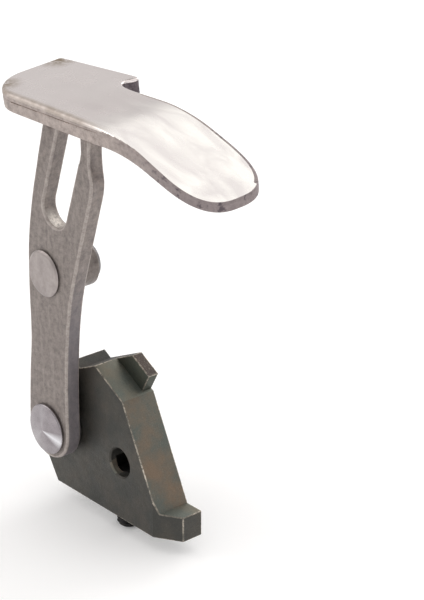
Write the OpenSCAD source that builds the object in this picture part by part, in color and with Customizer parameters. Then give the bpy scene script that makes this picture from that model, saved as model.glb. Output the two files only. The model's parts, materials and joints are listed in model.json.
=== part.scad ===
// Paddle lever linkage: a cast paddle lever on a steel pivot block.
// X runs along the paddle, Y is the depth from front to back, Z is up.
// The origin is on the axis of the block's shaft bore, halfway through the block.

/* [Block] */
// Thickness of the steel block, front to back
block_t = 12.5; // [11:0.5:14]
// Diameter of the shaft bore
bore_d = 9.5; // [8:0.1:10]
// Chamfer at each mouth of the shaft bore
bore_chamfer = 0.5; // [0.2:0.1:0.8]
// Slope of the upper ramp below the horizontal
ramp1_slope = 29.5; // [27:0.5:32]
// Slope of the lower ramp below the horizontal
ramp2_slope = 64; // [62:0.5:66]
// Thickness of the fin on the upper ramp
fin_t = 3.8; // [2.5:0.1:4]
// Height of the fin above the upper ramp
fin_h = 7; // [4:0.5:8]
// Height of the lower lug above the block's foot
lug_h = 8.5; // [6:0.5:9.5]
// Angle at which the lug's front tapers back
lug_taper = 31; // [25:1:34]

/* [Lever] */
// Distance from the pivot rivet to the upper pin
pin_span = 53.4; // [50:0.2:56]
// Thickness of the slotted arm
arm_t = 5.2; // [4.6:0.1:6.2]
// Radius of the arm's round foot
foot_r = 10; // [9.5:0.1:11]
// Width of the arm's slot
slot_w = 11.7; // [10:0.1:12.5]
// Lean of the slot from the vertical
slot_lean = 19; // [17:0.5:21]

/* [Paddle] */
// Thickness of the paddle plate
paddle_t = 6.1; // [5:0.1:6.4]
// Thickness of the paddle at its tip
tip_t = 2.7; // [2.6:0.1:4.5]
// Width of the tongue, front to back
tongue_w = 24.6; // [22:0.2:26]
// Radius of the downward bend of the tongue
tongue_bend_r = 56; // [50:1:64]
// Slope of the tongue past the bend
tongue_slope = 21.8; // [19:0.2:24]
// Rise of the paddle from its front edge to its back edge
paddle_tilt = 6.2; // [4:0.2:9]

/* [Pins and roller] */
// Diameter of the upper pin's head
pin_head_d = 14.9; // [14:0.1:16.4]
// Diameter of the upper pin's shank
pin_d = 7; // [6:0.1:8]
// Outer diameter of the roller
roller_d = 15; // [13:0.1:16]
// Length of the roller
roller_len = 10.4; // [8:0.1:11]
// Diameter of the pivot rivet's head
rivet_head_d = 17.2; // [15:0.1:18]
// Diameter of the pivot rivet's shank
rivet_d = 8; // [7:0.1:9]
// Diameter of the set screw
screw_d = 8; // [6:0.1:8]
// Length of the set screw
screw_len = 20; // [18:0.5:22]

/* [Hidden] */
$fn = 96;
e = 0.01;                     // overcut that keeps cut faces clean
run_gap = 0.05;               // radial clearance of a running fit
face_gap = 0.3;               // gap between faces that slide past each other
spacer_t = 1.7;

// Block outline, seen from the front
front_y = -block_t / 2;
back_y = block_t / 2;
foot_z = -19.5;
foot_left = [-32.8, foot_z];
lug_end_x = 24.5;
lug_top_z = foot_z + lug_h;
ramp_knee = [2, 21.7];                                    // where the two ramps meet
ramp1_len = 15.4;
flank_len = 8.6;                                          // ridge to the bottom of the notch
tooth_len = 3.7;
ridge = ramp_knee + ramp1_len * [-cos(ramp1_slope), sin(ramp1_slope)];
flank_slope = 25;                                         // left side of the ridge
notch = ridge - flank_len * [cos(flank_slope), sin(flank_slope)];
tooth = notch + tooth_len * [-cos(ramp1_slope), sin(ramp1_slope)];
lug_root = ramp_knee
    + (ramp_knee[1] - lug_top_z) * [1 / tan(ramp2_slope), -1];
taper_x = 16;                                             // where the lug's front starts to taper

// Pivot and upper pin
pivot = [-27, 4.2];
pin_at = pivot + pin_span * [sin(1.4), cos(1.4)];
block_end_r = 12;                                         // block's round end about the pivot
left_x = pivot[0] - block_end_r;

// Set screw, just short of the bore
screw_x = -3.4;
screw_top_z = -bore_d / 2 - 0.15;

// Arm, front to back
arm_back = front_y - spacer_t - face_gap;
arm_front = arm_back - arm_t;
slot_foot = [-19.8, 79.8];
pin_head_t = 1.1;
clip_t = 0.8;
clip_y = arm_back + 2 * face_gap + roller_len;
pin_end_y = clip_y + 2.2;
washer_t = 1;

// Paddle, in its own tilted frame: y from the front edge, z down from the top
rim_overhang = 1.3;                                       // paddle's front edge past the arm
paddle_front_y = arm_front - rim_overhang;
paddle_top_z = 111.7;
left_end = -52;
tip_x = 30.6;                                             // where the rounded tip starts
tip_len = 18.2;
tip_power = 2.7;                                          // squareness of the rounded tip
tongue_flare = 1.8;                                       // extra width at the tip
corner_r = 13.5;
step_x = -17.2;                                           // outer corner of the step
step_root_x = -18.6;                                      // inner corner of the step
back_left_w = 29.4;
back_step_w = 33.1;
step_fillet = 4.4;                                        // how far the step's fillet reaches
bend_start_x = 2.8;
bend_thinning = 1.9;                                      // thickness lost round the bend

// Point on a cubic Bezier curve, and a whole curve as n steps without its first point
function bez(p, t) = pow(1 - t, 3) * p[0] + 3 * t * pow(1 - t, 2) * p[1]
    + 3 * t * t * (1 - t) * p[2] + pow(t, 3) * p[3];
function curve(p, n) = [for (i = [1 : n]) bez(p, i / n)];
// Points on an arc about c from angle a0 to a1 as n steps without its first point
function arc(c, r, a0, a1, n) =
    [for (i = [1 : n]) let (a = a0 + (a1 - a0) * i / n) c + r * [cos(a), sin(a)]];

// Front-view outlines are drawn in X and Z, then stood up between two depths
module stand(y0, y1) {
    translate([0, y1, 0]) rotate([90, 0, 0]) linear_extrude(height = y1 - y0) children();
}

// Round bar along Y, with its centre at p = [x, z]
module bar(p, d, y0, y1) {
    translate([p[0], y0, p[1]]) rotate([-90, 0, 0]) cylinder(d = d, h = y1 - y0);
}

// Turned solid about an axis along Y: profile = [radius, y] points
module turned(p, profile) {
    translate([p[0], 0, p[1]]) rotate([-90, 0, 0]) rotate_extrude() polygon(profile);
}

module block_outline() {
    polygon(concat(
        [foot_left, [lug_end_x, foot_z], [lug_end_x, lug_top_z], lug_root, ramp_knee,
         ridge, notch, tooth],
        arc(pivot, block_end_r, 112, 180, 14),
        [[left_x, -9.5]]));
}

// Slab on the back of the upper ramp, its left end in line with the ridge's flank
module fin_outline() {
    up = [sin(ramp1_slope), cos(ramp1_slope)];
    foot_end = ramp_knee - 1.2 * [cos(ramp1_slope), -sin(ramp1_slope)];
    top_run = fin_h / tan(ramp1_slope + flank_slope);
    polygon([ridge - 2 * up, foot_end - 2 * up, foot_end + fin_h * up,
             ridge + fin_h * up + top_run * [cos(ramp1_slope), -sin(ramp1_slope)], ridge]);
}

module pivot_block() {
    color([0.29, 0.29, 0.27]) difference() {
        union() {
            stand(front_y, back_y) block_outline();
            stand(back_y - fin_t, back_y) fin_outline();
        }
        // the lug's front tapers back
        translate([taper_x, front_y, foot_z - 1]) rotate([0, 0, lug_taper])
            translate([-e, -20, 0]) cube([40, 20, lug_h + 10]);
        bar([0, 0], bore_d, front_y - 1, back_y + 1);
        turned([0, 0], [[0, front_y - 1], [bore_d / 2 + bore_chamfer + 1, front_y - 1],
            [bore_d / 2, front_y + bore_chamfer], [0, front_y + bore_chamfer]]);
        turned([0, 0], [[0, back_y + 1], [bore_d / 2 + bore_chamfer + 1, back_y + 1],
            [bore_d / 2, back_y - bore_chamfer], [0, back_y - bore_chamfer]]);
        bar(pivot, rivet_d, front_y - 1, back_y + 1);
        // hole for the set screw, from the foot into the bore
        translate([screw_x, 0, foot_z - 1]) cylinder(d = screw_d + 2 * run_gap, h = 1 - foot_z);
    }
}

module set_screw() {
    tip = 1.2;                                            // chamfer at each end
    r = screw_d / 2;
    color([0.16, 0.16, 0.16])
    translate([screw_x, 0, screw_top_z - screw_len]) difference() {
        rotate_extrude() polygon([[0, 0], [r - tip, 0], [r, tip], [r, screw_len - tip],
                                  [r - tip, screw_len], [0, screw_len]]);
        translate([0, 0, -1]) cylinder(d = 4.6, h = 5, $fn = 6);
    }
}

module arm_outline() {
    f = foot_r;
    left_top = [-23.6, 109];
    right_top = [-1.8, 109];
    polygon(concat(
        arc(pivot, f, 180, 360, 28),
        curve([pivot + [f, 0], pivot + [f, 18], [-16.6, 36], [-13.4, 51.5]], 10),
        curve([[-13.4, 51.5], [-10.8, 61.5], [-6.4, 74], [-3.4, 83.5]], 8),
        curve([[-3.4, 83.5], [-1.6, 88.5], [-0.9, 92.5], [-1.6, 96]], 6),
        [right_top, left_top],
        curve([left_top, [-28.4, 91.5], [-32.4, 80], [-34, 66]], 10),
        curve([[-34, 66], [-35.2, 55], [-34.4, 44], [-34.6, 36]], 8),
        curve([[-34.6, 36], [-34.8, 28], [-36.6, 20], pivot - [f, 0]], 8)));
}

module slot_outline() {
    r = slot_w / 2;
    translate(slot_foot) rotate(-slot_lean)
        polygon(concat([[-r, 50], [-r, 0]], arc([0, 0], r, 180, 360, 28), [[r, 50]]));
}

module paddle_plan() {
    fillet_start = [step_root_x + 2.3 * step_fillet, tongue_w];
    fillet_end = [step_root_x, tongue_w + step_fillet];
    tip_w = (tongue_w + tongue_flare) / 2;
    p = 2 / tip_power;
    n = 44;
    polygon(concat(
        [[left_end, corner_r]],
        arc([left_end + corner_r, corner_r], corner_r, 180, 270, 20),
        [for (i = [0 : n]) let (a = 180 * i / n - 90)
            [tip_x + tip_len * pow(abs(cos(a)), p), tip_w * (1 + sign(sin(a)) * pow(abs(sin(a)), p))]],
        [fillet_start],
        curve([fillet_start, fillet_start - [step_fillet, 0], fillet_end - [0, step_fillet],
               fillet_end], 12),
        [[step_x, back_step_w], [left_end, back_left_w]]));
}

// Side view of the paddle: level, then a bend, then the sloping tongue thinning to its tip
module paddle_side() {
    c = [bend_start_x, -tongue_bend_r];
    n = 8;
    down = [cos(tongue_slope), -sin(tongue_slope)];
    bend_end = c + tongue_bend_r * [sin(tongue_slope), cos(tongue_slope)];
    end = bend_end + (tip_x + tip_len + 1 - bend_end[0]) / cos(tongue_slope) * down;
    polygon(concat(
        [[left_end - 1, 0], [bend_start_x, 0]],
        arc(c, tongue_bend_r, 90, 90 - tongue_slope, n),
        [end, end - tip_t * [sin(tongue_slope), cos(tongue_slope)]],
        [for (i = [n : -1 : 0]) let (a = tongue_slope * i / n,
            r = tongue_bend_r - paddle_t + bend_thinning * i / n) c + r * [sin(a), cos(a)]],
        [[left_end - 1, -paddle_t]]));
}

module paddle() {
    translate([0, paddle_front_y, paddle_top_z]) rotate([paddle_tilt, 0, 0])
    intersection() {
        translate([0, 0, -40]) linear_extrude(height = 41) paddle_plan();
        stand(-1, 50) paddle_side();
    }
}

module lever_casting() {
    color([0.74, 0.71, 0.7]) difference() {
        union() {
            paddle();
            stand(arm_front, arm_back) difference() {
                arm_outline();
                slot_outline();
            }
        }
        bar(pivot, rivet_d + 2 * run_gap, arm_front - 1, arm_back + 1);
        bar(pin_at, pin_d, arm_front - 1, arm_back + 1);
    }
}

// Disc-headed pin: pressed into the arm, with a groove for the clip at its back end
module upper_pin() {
    r = pin_d / 2;
    hr = pin_head_d / 2;
    color([0.68, 0.65, 0.64])
    turned(pin_at, [[0, arm_front - pin_head_t], [hr - 1, arm_front - pin_head_t],
        [hr, arm_front - pin_head_t + 0.7], [hr, arm_front], [r, arm_front],
        [r, clip_y], [r - 0.7, clip_y], [r - 0.7, clip_y + clip_t], [r, clip_y + clip_t],
        [r, pin_end_y - 0.6], [r - 0.6, pin_end_y], [0, pin_end_y]]);
}

module roller() {
    y0 = arm_back + face_gap;
    y1 = y0 + roller_len;
    ri = pin_d / 2 + run_gap;
    ro = roller_d / 2;
    ch = 0.9;
    color([0.55, 0.52, 0.5])
    turned(pin_at, [[ri, y0], [ro - ch, y0], [ro, y0 + ch], [ro, y1 - ch], [ro - ch, y1],
        [ri, y1]]);
}

// Spring clip in the pin's groove, open at the bottom
module roller_clip() {
    color([0.45, 0.45, 0.46])
    translate([pin_at[0], clip_y, pin_at[1]]) rotate([-90, 0, 0])
    difference() {
        cylinder(d = 12, h = clip_t);
        translate([0, 0, -1]) cylinder(d = pin_d - 1.4, h = clip_t + 2);
        translate([-2.6, 0, -1]) cube([5.2, 10, clip_t + 2]);
    }
}

// Turned rivet: low cone head in front of the arm, shank pressed into the block,
// tail peened over its washer behind the block
module pivot_rivet() {
    r = rivet_d / 2;
    hr = rivet_head_d / 2;
    head_back = arm_front - face_gap;
    tail_y = back_y + washer_t;
    color([0.75, 0.74, 0.75])
    turned(pivot, [[0, head_back - 2.2], [1.6, head_back - 2.2], [hr - 0.3, head_back - 0.9],
        [hr, head_back - 0.6], [hr, head_back], [r, head_back], [r, tail_y],
        [r + 1.5, tail_y], [r + 1.5, tail_y + 0.5], [r - 0.2, tail_y + 1.4],
        [0, tail_y + 1.4]]);
}

module rivet_washer() {
    color([0.6, 0.6, 0.6])
    turned(pivot, [[rivet_d / 2, back_y], [7, back_y], [7, back_y + washer_t],
                   [rivet_d / 2, back_y + washer_t]]);
}

// Thin washer that holds the arm clear of the block
module pivot_spacer() {
    color([0.5, 0.48, 0.45])
    turned(pivot, [[rivet_d / 2, front_y - spacer_t], [8, front_y - spacer_t], [8, front_y],
                   [rivet_d / 2, front_y]]);
}

lever_casting();
upper_pin();
roller();
roller_clip();
pivot_rivet();
pivot_spacer();
rivet_washer();
pivot_block();
set_screw();
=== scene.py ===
"""Paddle lever linkage: a polished cast paddle on a slotted arm, riveted to a dark steel block.

Lengths in the shape code are millimetres in the frame of the CAD model, and the meshes are
metres. X runs along the paddle, Y from the lever's side to the back, Z up.
"""
import json

import bmesh
import bpy
import numpy as np
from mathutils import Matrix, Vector


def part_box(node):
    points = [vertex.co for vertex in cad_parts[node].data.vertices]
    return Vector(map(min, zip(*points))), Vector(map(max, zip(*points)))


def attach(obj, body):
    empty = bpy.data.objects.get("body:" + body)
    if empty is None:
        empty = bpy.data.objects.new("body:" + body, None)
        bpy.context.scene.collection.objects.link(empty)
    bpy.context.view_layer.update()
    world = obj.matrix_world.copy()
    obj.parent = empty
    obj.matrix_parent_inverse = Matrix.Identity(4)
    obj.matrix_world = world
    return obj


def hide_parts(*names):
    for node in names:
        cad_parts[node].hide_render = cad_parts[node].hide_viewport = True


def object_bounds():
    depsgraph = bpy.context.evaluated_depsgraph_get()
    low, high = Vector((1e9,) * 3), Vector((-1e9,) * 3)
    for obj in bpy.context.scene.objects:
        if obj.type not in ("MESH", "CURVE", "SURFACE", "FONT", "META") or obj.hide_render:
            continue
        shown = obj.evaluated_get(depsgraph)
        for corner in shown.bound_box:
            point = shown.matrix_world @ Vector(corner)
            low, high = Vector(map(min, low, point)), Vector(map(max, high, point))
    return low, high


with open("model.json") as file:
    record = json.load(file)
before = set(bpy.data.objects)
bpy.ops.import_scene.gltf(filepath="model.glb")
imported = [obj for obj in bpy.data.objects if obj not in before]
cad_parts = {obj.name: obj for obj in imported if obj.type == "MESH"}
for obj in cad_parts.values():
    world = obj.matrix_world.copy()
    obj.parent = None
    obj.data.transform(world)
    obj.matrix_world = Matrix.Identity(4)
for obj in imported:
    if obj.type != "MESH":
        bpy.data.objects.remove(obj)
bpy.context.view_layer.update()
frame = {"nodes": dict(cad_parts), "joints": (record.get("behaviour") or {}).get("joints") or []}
MM = 0.001
TAU = 2 * np.pi


def span(node):
    """Lowest and highest corner of a CAD node, in millimetres."""
    low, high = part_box(node)
    return np.array(low) / MM, np.array(high) / MM


JOINTS = {joint["name"]: joint for joint in frame["joints"]}
PIVOT = np.array(JOINTS["lever_swing"]["pos_m"])[[0, 2]] / MM
PIN = np.array(JOINTS["roller_spin"]["pos_m"])[[0, 2]] / MM
CAST_LOW = span("lever_casting")[0]
HEAD_LOW, HEAD_HIGH = span("upper_pin")
BLOCK_HIGH = span("pivot_block")[1]

# ---------------------------------------------------------------- camera
CAMERA_AT = (0.4131, -0.32735, 0.27665)
BACK = Vector((0.6947, -0.6039, 0.3907))
camera = bpy.data.objects.new("camera", bpy.data.cameras.new("camera"))
bpy.context.scene.collection.objects.link(camera)
camera.location = CAMERA_AT
camera.rotation_euler = BACK.to_track_quat("Z", "Y").to_euler()
camera.data.lens = 114
camera.data.sensor_width = 36
camera.data.clip_start, camera.data.clip_end = 0.01, 50
bpy.context.scene.camera = camera


# ---------------------------------------------------------------- node materials
class Finish:
    """A node material with one principled shader, and short calls for its pattern nodes."""

    def __init__(self, name):
        self.material = bpy.data.materials.new(name)
        self.material.use_nodes = True
        self.nodes = self.material.node_tree.nodes
        self.links = self.material.node_tree.links
        self.nodes.clear()
        output = self.nodes.new("ShaderNodeOutputMaterial")
        self.shader = self.nodes.new("ShaderNodeBsdfPrincipled")
        self.links.new(self.shader.outputs[0], output.inputs[0])
        self.place = self.nodes.new("ShaderNodeTexCoord").outputs["Object"]

    def feed(self, socket, value):
        """A socket gets another node's output, or a plain value."""
        if isinstance(value, bpy.types.NodeSocket):
            self.links.new(value, socket)
        else:
            socket.default_value = value

    def stretched(self, scale=(1, 1, 1), turn=(0, 0, 0), shift=(0, 0, 0)):
        """Object position, shifted, turned and scaled."""
        node = self.nodes.new("ShaderNodeMapping")
        node.inputs["Location"].default_value = shift
        node.inputs["Rotation"].default_value = turn
        node.inputs["Scale"].default_value = scale
        self.links.new(self.place, node.inputs["Vector"])
        return node.outputs[0]

    def noise(self, size, detail=4, rough=0.55, where=None, warp=0.0):
        """Cloudy pattern from 0 to 1, whose patches are about size millimetres across."""
        node = self.nodes.new("ShaderNodeTexNoise")
        self.links.new(where or self.place, node.inputs["Vector"])
        node.inputs["Scale"].default_value = 1 / (size * MM)
        node.inputs["Detail"].default_value = detail
        node.inputs["Roughness"].default_value = rough
        node.inputs["Distortion"].default_value = warp
        return node.outputs[0]

    def cells(self, size, where=None):
        """Distance to the nearest seed point, in cells about size millimetres across."""
        node = self.nodes.new("ShaderNodeTexVoronoi")
        self.links.new(where or self.place, node.inputs["Vector"])
        node.inputs["Scale"].default_value = 1 / (size * MM)
        return node.outputs["Distance"]

    def ramp(self, factor, *stops):
        """Grey value for a factor: stops are (position, grey), smoothly joined."""
        node = self.nodes.new("ShaderNodeValToRGB")
        node.color_ramp.interpolation = "EASE"
        while len(node.color_ramp.elements) < len(stops):
            node.color_ramp.elements.new(0.5)
        for element, (position, grey) in zip(node.color_ramp.elements, stops):
            element.position = position
            element.color = (grey, grey, grey, 1)
        self.links.new(factor, node.inputs[0])
        return node.outputs[0]

    def blob(self, centre, radius, edge=0.5):
        """1 inside a ball about centre, falling to 0 at its radius, all in millimetres."""
        node = self.nodes.new("ShaderNodeVectorMath")
        node.operation = "DISTANCE"
        self.links.new(self.place, node.inputs[0])
        node.inputs[1].default_value = [c * MM for c in centre]
        return self.remap(node.outputs["Value"], radius * MM * (1 - edge), radius * MM, 1, 0)

    def axis(self, name, start, end):
        """0 at start and 1 at end along one axis of the object, in millimetres."""
        node = self.nodes.new("ShaderNodeSeparateXYZ")
        self.links.new(self.place, node.inputs[0])
        return self.remap(node.outputs[name], start * MM, end * MM, 0, 1)

    def remap(self, value, low, high, new_low, new_high):
        """A value's range carried to a new range, clamped at both ends."""
        node = self.nodes.new("ShaderNodeMapRange")
        for socket, number in zip(node.inputs[1:5], (low, high, new_low, new_high)):
            socket.default_value = number
        self.links.new(value, node.inputs[0])
        return node.outputs[0]

    def maths(self, kind, a, b=0.0):
        """One arithmetic step on two values."""
        node = self.nodes.new("ShaderNodeMath")
        node.operation = kind
        self.feed(node.inputs[0], a)
        self.feed(node.inputs[1], b)
        return node.outputs[0]

    def mix(self, factor, a, b, kind="MIX"):
        """Colour a turning into colour b as the factor grows."""
        node = self.nodes.new("ShaderNodeMix")
        node.data_type = "RGBA"
        node.blend_type = kind
        self.feed(node.inputs[0], factor)
        self.feed(node.inputs[6], a)
        self.feed(node.inputs[7], b)
        return node.outputs[2]

    def bump(self, height, depth, strength=1.0, under=None):
        """Surface relief: a height of 1 stands depth millimetres proud."""
        node = self.nodes.new("ShaderNodeBump")
        node.inputs["Strength"].default_value = strength
        node.inputs["Distance"].default_value = depth * MM
        self.links.new(height, node.inputs["Height"])
        if under is not None:
            self.links.new(under, node.inputs["Normal"])
        return node.outputs[0]

    def set(self, colour, rough, relief=None, metal=1.0, **fixed):
        """Colour, roughness and relief go to the shader, and constants to its sockets."""
        self.feed(self.shader.inputs["Base Color"], colour)
        self.feed(self.shader.inputs["Roughness"], rough)
        self.feed(self.shader.inputs["Metallic"], metal)
        if relief is not None:
            self.links.new(relief, self.shader.inputs["Normal"])
        for name, number in fixed.items():
            self.shader.inputs[name.replace("_", " ")].default_value = number
        return self.material


def srgb(red, green, blue):
    """Colour as seen, 0 to 255, turned into the linear values of a shader."""
    seen = np.array([red, green, blue]) / 255
    linear = np.where(seen <= 0.04045, seen / 12.92, ((seen + 0.055) / 1.055) ** 2.4)
    return (*linear.tolist(), 1.0)


def polished_paddle():
    """Polished casting: soft cloudy gloss, painted reflection streaks on the tongue, a painted
    shade patch left of the bend, a front-left nose painted darker to dim its highlight, fine
    lengthwise scratches, brown stains at two corners of the left end."""
    f = Finish("polished paddle")
    clouds = f.noise(16, 3, 0.5)
    colour = f.mix(clouds, srgb(225, 216, 214), srgb(236, 229, 227))
    out = f.axis("X", -4, 14)
    sweep = f.noise(8, 3, 0.5, f.stretched((0.3, 1, 1), (0, 0, -0.5)), 0.6)
    # Painted reflection: bright streaks on the tongue that follow the sweep pattern.
    reflection_streaks = f.mix(f.remap(sweep, 0.36, 0.6, 0, 1), srgb(228, 223, 221), srgb(252, 249, 244))
    colour = f.mix(out, colour, reflection_streaks)
    # Painted shade: a darker patch left of the bend, between the bright streaks.
    shade = f.maths("MULTIPLY", f.blob((-6, -2, 111), 15, 0.95),
                    f.remap(sweep, 0.35, 0.6, 1, 0.2))
    colour = f.mix(f.maths("MULTIPLY", shade, 0.4), colour, srgb(206, 196, 195))
    speck = f.ramp(f.noise(0.7, 3, 0.7), (0.62, 0), (0.74, 1))
    colour = f.mix(f.maths("MULTIPLY", speck, 0.05), colour, srgb(150, 138, 132))
    # Painted shade with a rougher finish: the front-left nose is coloured darker brown to dim
    # its highlight, and is made rougher.
    dull_shaded_nose = f.maths("MULTIPLY", f.axis("Y", FRONT_Y + 2.4, FRONT_Y + 0.9), f.axis("X", 10, -6))
    dull_shaded_nose = f.maths("MULTIPLY", dull_shaded_nose, f.remap(f.noise(5, 4, 0.6), 0.3, 0.6, 0.5, 1))
    colour = f.mix(f.maths("MULTIPLY", dull_shaded_nose, 0.8), colour, srgb(164, 152, 140))
    stain = f.maths("ADD", f.blob((-47, -10.6, 111), 6.5, 0.9), f.blob((-50, 12, 114.5), 7, 0.9))
    stain = f.maths("MULTIPLY", stain, f.ramp(f.noise(2.2, 4, 0.7), (0.3, 0), (0.56, 1)))
    colour = f.mix(f.maths("MULTIPLY", stain, 0.9), colour, srgb(128, 110, 84))
    scratches = f.noise(0.5, 2, 0.5, f.stretched((0.03, 1, 1), (0, 0, 0.05)))
    rough = f.remap(f.noise(7, 4, 0.6), 0.3, 0.7, 0.20, 0.30)
    rough = f.maths("ADD", rough, f.maths("MULTIPLY", stain, 0.3))
    rough = f.maths("ADD", rough, f.maths("MULTIPLY", dull_shaded_nose, 0.3))
    swell = f.bump(sweep, 0.12, 0.5, f.bump(f.noise(14, 2, 0.5), 0.08, 0.3))
    relief = f.bump(scratches, 0.003, 0.6, swell)
    return f.set(colour, rough, relief)


def cast_skin(name, warm, dark, light, metal=0.55, extra=None):
    """As-cast skin: two sizes of mottling, dark pits, and a grain that stands proud. extra
    adds a finish's own colouring, with painted shade and highlight among it."""
    f = Finish(name)
    mottle = f.noise(1.9, 5, 0.7)
    grain = f.noise(0.42, 4, 0.75)
    colour = f.mix(f.remap(mottle, 0.34, 0.66, 0, 1), dark, warm)
    colour = f.mix(f.maths("MULTIPLY", f.remap(grain, 0.5, 0.72, 0, 1), 0.6), colour, light)
    pits = f.ramp(f.cells(1.1, f.stretched((1, 1, 1.25))), (0.06, 1), (0.2, 0))
    colour = f.mix(f.maths("MULTIPLY", pits, 0.3), colour, srgb(72, 64, 62))
    streak = f.noise(1.4, 3, 0.6, f.stretched((1, 1, 0.12)))
    colour = f.mix(f.maths("MULTIPLY", f.remap(streak, 0.5, 0.7, 0, 1), 0.25), colour, light)
    if extra:
        colour = extra(f, colour)
    rough = f.remap(grain, 0.3, 0.7, 0.42, 0.66)
    height = f.maths("ADD", f.maths("MULTIPLY", mottle, 0.6), f.maths("MULTIPLY", grain, 0.5))
    height = f.maths("SUBTRACT", height, f.maths("MULTIPLY", pits, 0.25))
    return f.set(colour, rough, f.bump(height, 0.22, 0.8), metal)


def tongue_marks(f, colour):
    """The rim turns darker and purplish along the tongue, with dark chips in it."""
    out = f.axis("X", 8, 36)
    chips = f.ramp(f.noise(2.6, 4, 0.65), (0.55, 0), (0.64, 1))
    colour = f.mix(f.maths("MULTIPLY", out, 0.55), colour, srgb(118, 108, 114))
    return f.mix(f.maths("MULTIPLY", f.maths("MULTIPLY", out, chips), 0.7), colour,
                 srgb(58, 48, 60))


def side_shade_and_glint(f, colour):
    """Painted shade: the arm's edges turn darker and blue-grey low down. Painted highlight: near
    white at the foot of the slot.
    """
    # Painted shade: darker and blue-grey towards the bottom of the arm's sides.
    low = f.axis("Z", 66, 40)
    colour = f.mix(f.maths("MULTIPLY", low, 0.5), colour, srgb(126, 123, 132))
    # Painted highlight: a near-white patch at the foot of the slot.
    wear_and_glint = f.maths("MULTIPLY", f.blob((-22.0, -11, 75.0), 5.0, 0.8),
                     f.remap(f.noise(0.9, 4, 0.7), 0.35, 0.55, 0.4, 1))
    return f.mix(wear_and_glint, colour, srgb(252, 246, 238))


def oxide_steel(name, base, tint, fleck, rough_low=0.36, rough_high=0.56, fleck_share=0.25):
    """Dark oxide on machined steel: slow brown and green patches, fine flecks of bare metal,
    and faint machining lines across the faces."""
    f = Finish(name)
    patches = f.noise(9, 4, 0.6)
    colour = f.mix(f.remap(patches, 0.38, 0.66, 0, 1), base, tint)
    flecks = f.ramp(f.noise(0.42, 3, 0.8), (0.56, 0), (0.72, 1))
    colour = f.mix(f.maths("MULTIPLY", flecks, fleck_share), colour, fleck)
    lines = f.noise(0.35, 2, 0.5, f.stretched((1, 0.04, 1)))
    rough = f.remap(f.noise(1.8, 4, 0.7), 0.3, 0.7, rough_low, rough_high)
    height = f.maths("ADD", f.maths("MULTIPLY", lines, 0.5), f.noise(0.6, 4, 0.7))
    fine = f.remap(f.noise(0.3, 2, 0.8), 0.35, 0.65, 0.82, 1.12)
    colour = f.mix(1.0, colour, f.mix(fine, (0, 0, 0, 1), (1, 1, 1, 1)), "MULTIPLY")
    return f.set(colour, rough, f.bump(height, 0.11, 0.8), 0.7)


def worn_edge():
    """Edge where the oxide has rubbed off: bright bare steel that breaks up into oxide."""
    f = Finish("worn block edge")
    wear_and_glint = f.maths("MULTIPLY", f.ramp(f.noise(1.3, 5, 0.75), (0.38, 0), (0.6, 1)),
                     f.ramp(f.noise(9, 3, 0.6), (0.36, 0.3), (0.6, 1)))
    colour = f.mix(wear_and_glint, srgb(94, 92, 86), srgb(194, 184, 170))
    return f.set(colour, f.remap(f.noise(0.5, 3, 0.7), 0.3, 0.7, 0.25, 0.45),
                 f.bump(f.noise(0.4, 3, 0.7), 0.04, 0.6), 0.85)


def turned_metal(name, light, dark, rough_low, rough_high, ring_size, centre, anisotropy=0.0,
                 glint_sectors=()):
    """Lathe-turned metal: fine rings about the turning axis, slow cloudy wear, and painted
    highlight sectors, the glints of a turned face painted into its colour, given as (place
    round the circle from 0 to 1, half width, strength)."""
    f = Finish(name)
    rings = f.nodes.new("ShaderNodeTexWave")
    rings.wave_type = "RINGS"
    rings.rings_direction = "Y"
    rings.inputs["Scale"].default_value = 0.3 / (ring_size * MM)
    rings.inputs["Distortion"].default_value = 0.4
    rings.inputs["Detail"].default_value = 2
    shifted = f.stretched(shift=(-centre[0] * MM, 0, -centre[1] * MM))
    f.links.new(shifted, rings.inputs["Vector"])
    clouds = f.noise(3.2, 4, 0.65)
    colour = f.mix(f.remap(clouds, 0.36, 0.66, 0, 1), dark, light)
    colour = f.mix(f.maths("MULTIPLY", rings.outputs[1], 0.12), colour, dark)
    if glint_sectors:
        circle = f.nodes.new("ShaderNodeTexGradient")
        circle.gradient_type = "RADIAL"
        swung = f.nodes.new("ShaderNodeVectorRotate")
        swung.rotation_type = "X_AXIS"
        swung.inputs["Angle"].default_value = -np.pi / 2
        f.links.new(shifted, swung.inputs["Vector"])
        f.links.new(swung.outputs[0], circle.inputs[0])
        for place, half, strength in glint_sectors:
            away = f.maths("ABSOLUTE", f.maths("SUBTRACT", circle.outputs[1], place))
            share = f.remap(away, 0, half, strength, 0)
            # Painted highlight: each sector is mixed towards near white.
            colour = f.mix(share, colour, srgb(250, 250, 254))
    rough = f.remap(f.noise(1.2, 4, 0.7), 0.3, 0.7, rough_low, rough_high)
    relief = f.bump(rings.outputs[1], 0.012, 0.5, f.bump(f.noise(0.5, 3, 0.7), 0.02, 0.5))
    if anisotropy:
        tangent = f.nodes.new("ShaderNodeTangent")
        tangent.direction_type = "UV_MAP"
        tangent.uv_map = "turned"
        f.links.new(tangent.outputs[0], f.shader.inputs["Tangent"])
    return f.set(colour, rough, relief, Anisotropic=anisotropy)


def black_screw_steel():
    """Black oxide screw: nearly even black, with a faint brown rub on the crests."""
    f = Finish("black screw steel")
    rub = f.ramp(f.noise(1.1, 4, 0.7), (0.52, 0), (0.7, 1))
    colour = f.mix(f.maths("MULTIPLY", rub, 0.5), srgb(44, 43, 44), srgb(108, 99, 89))
    return f.set(colour, f.remap(f.noise(0.6, 3, 0.6), 0.3, 0.7, 0.32, 0.5),
                 f.bump(f.noise(0.5, 4, 0.7), 0.02, 0.6), 0.8)


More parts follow.
